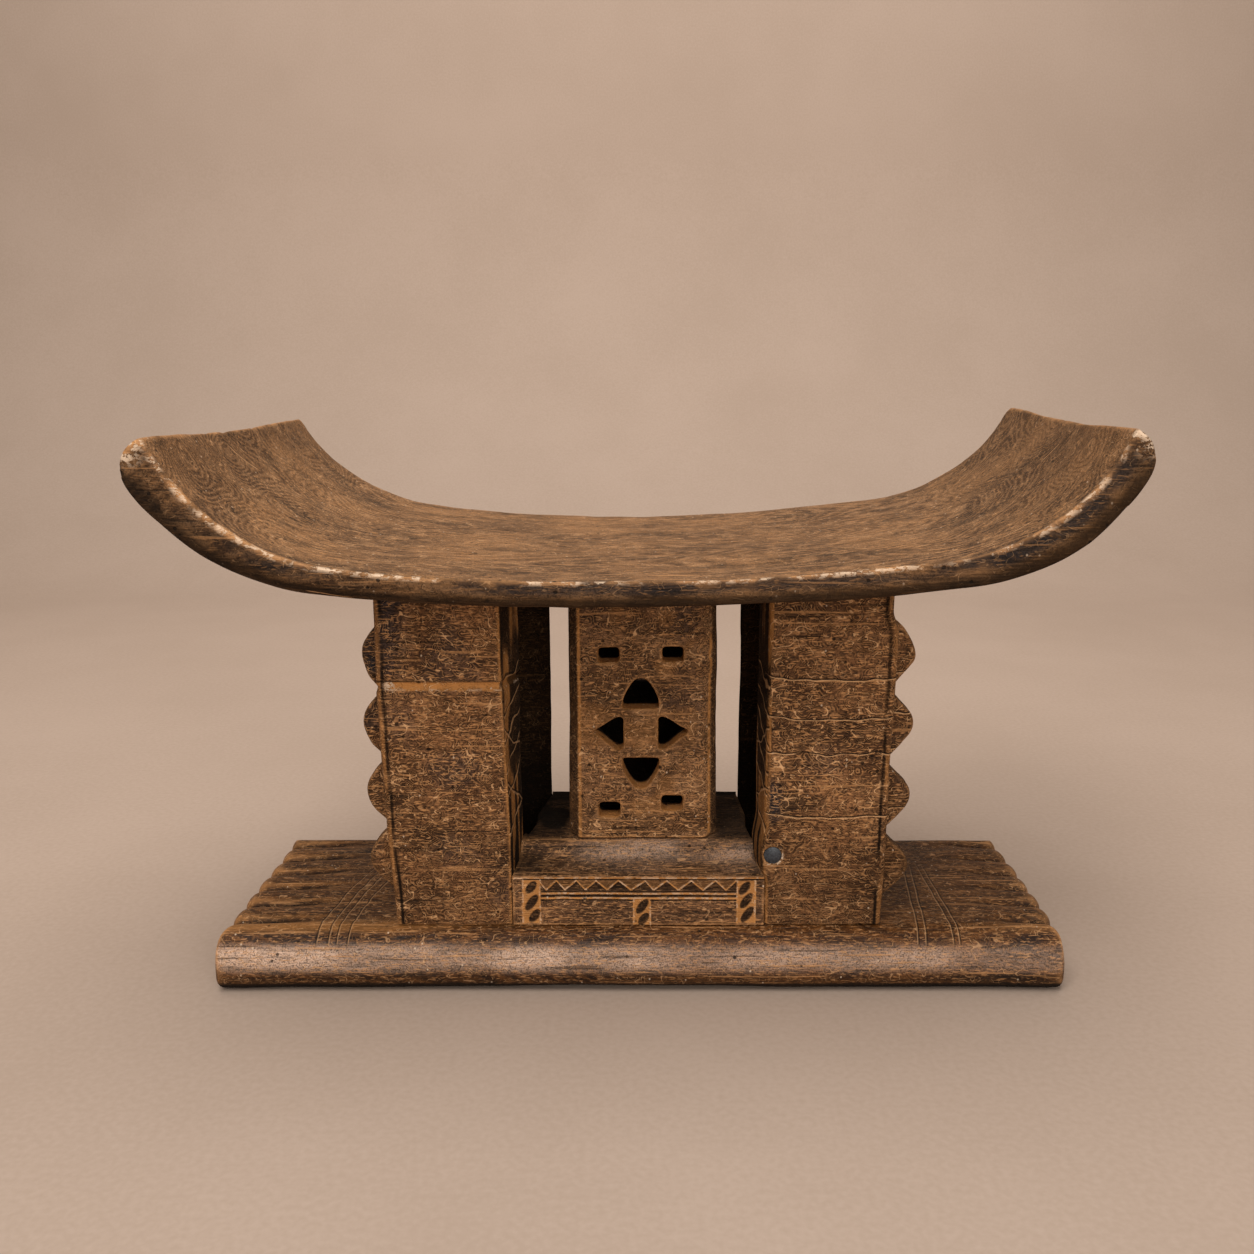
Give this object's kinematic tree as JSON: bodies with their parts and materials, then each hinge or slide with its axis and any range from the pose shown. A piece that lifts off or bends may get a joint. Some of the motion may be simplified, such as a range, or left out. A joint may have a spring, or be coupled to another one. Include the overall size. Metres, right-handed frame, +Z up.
{
  "type": "ashanti stool",
  "caption": "Carved wooden stool: a broad curved seat with turned-up ends on scalloped corner posts and a pierced hollow column, over a thick base whose ends are carved into fingers.",
  "frame": {"origin": "on the floor, under the middle of the seat and of the base", "axes": "+X along the seat's length to the right as seen from the front, +Y from the front to the back, +Z up"},
  "size_m": [0.5658, 0.3, 0.3636],
  "materials": {
    "seat_wood": "mid-brown wood polished by use, with pale worn edges",
    "base_wood": "brown wood with a soft sheen, scratched and pitted",
    "plinth_wood": "dark brown wood with paler incised lines",
    "column_wood": "dark brown wood covered in fine paler scratches",
    "post_wood": "dark brown wood covered in fine paler scratches",
    "plug_wood": "nearly black, smooth end grain"
  },
  "bodies": {
    "root": {"seat": "seat_wood", "base": "base_wood", "plinth": "plinth_wood", "centre_column": "column_wood", "post_front_left": "post_wood", "post_front_right": "post_wood", "post_back_left": "post_wood", "post_back_right": "post_wood", "plug": "plug_wood"}
  },
  "joints": []
}
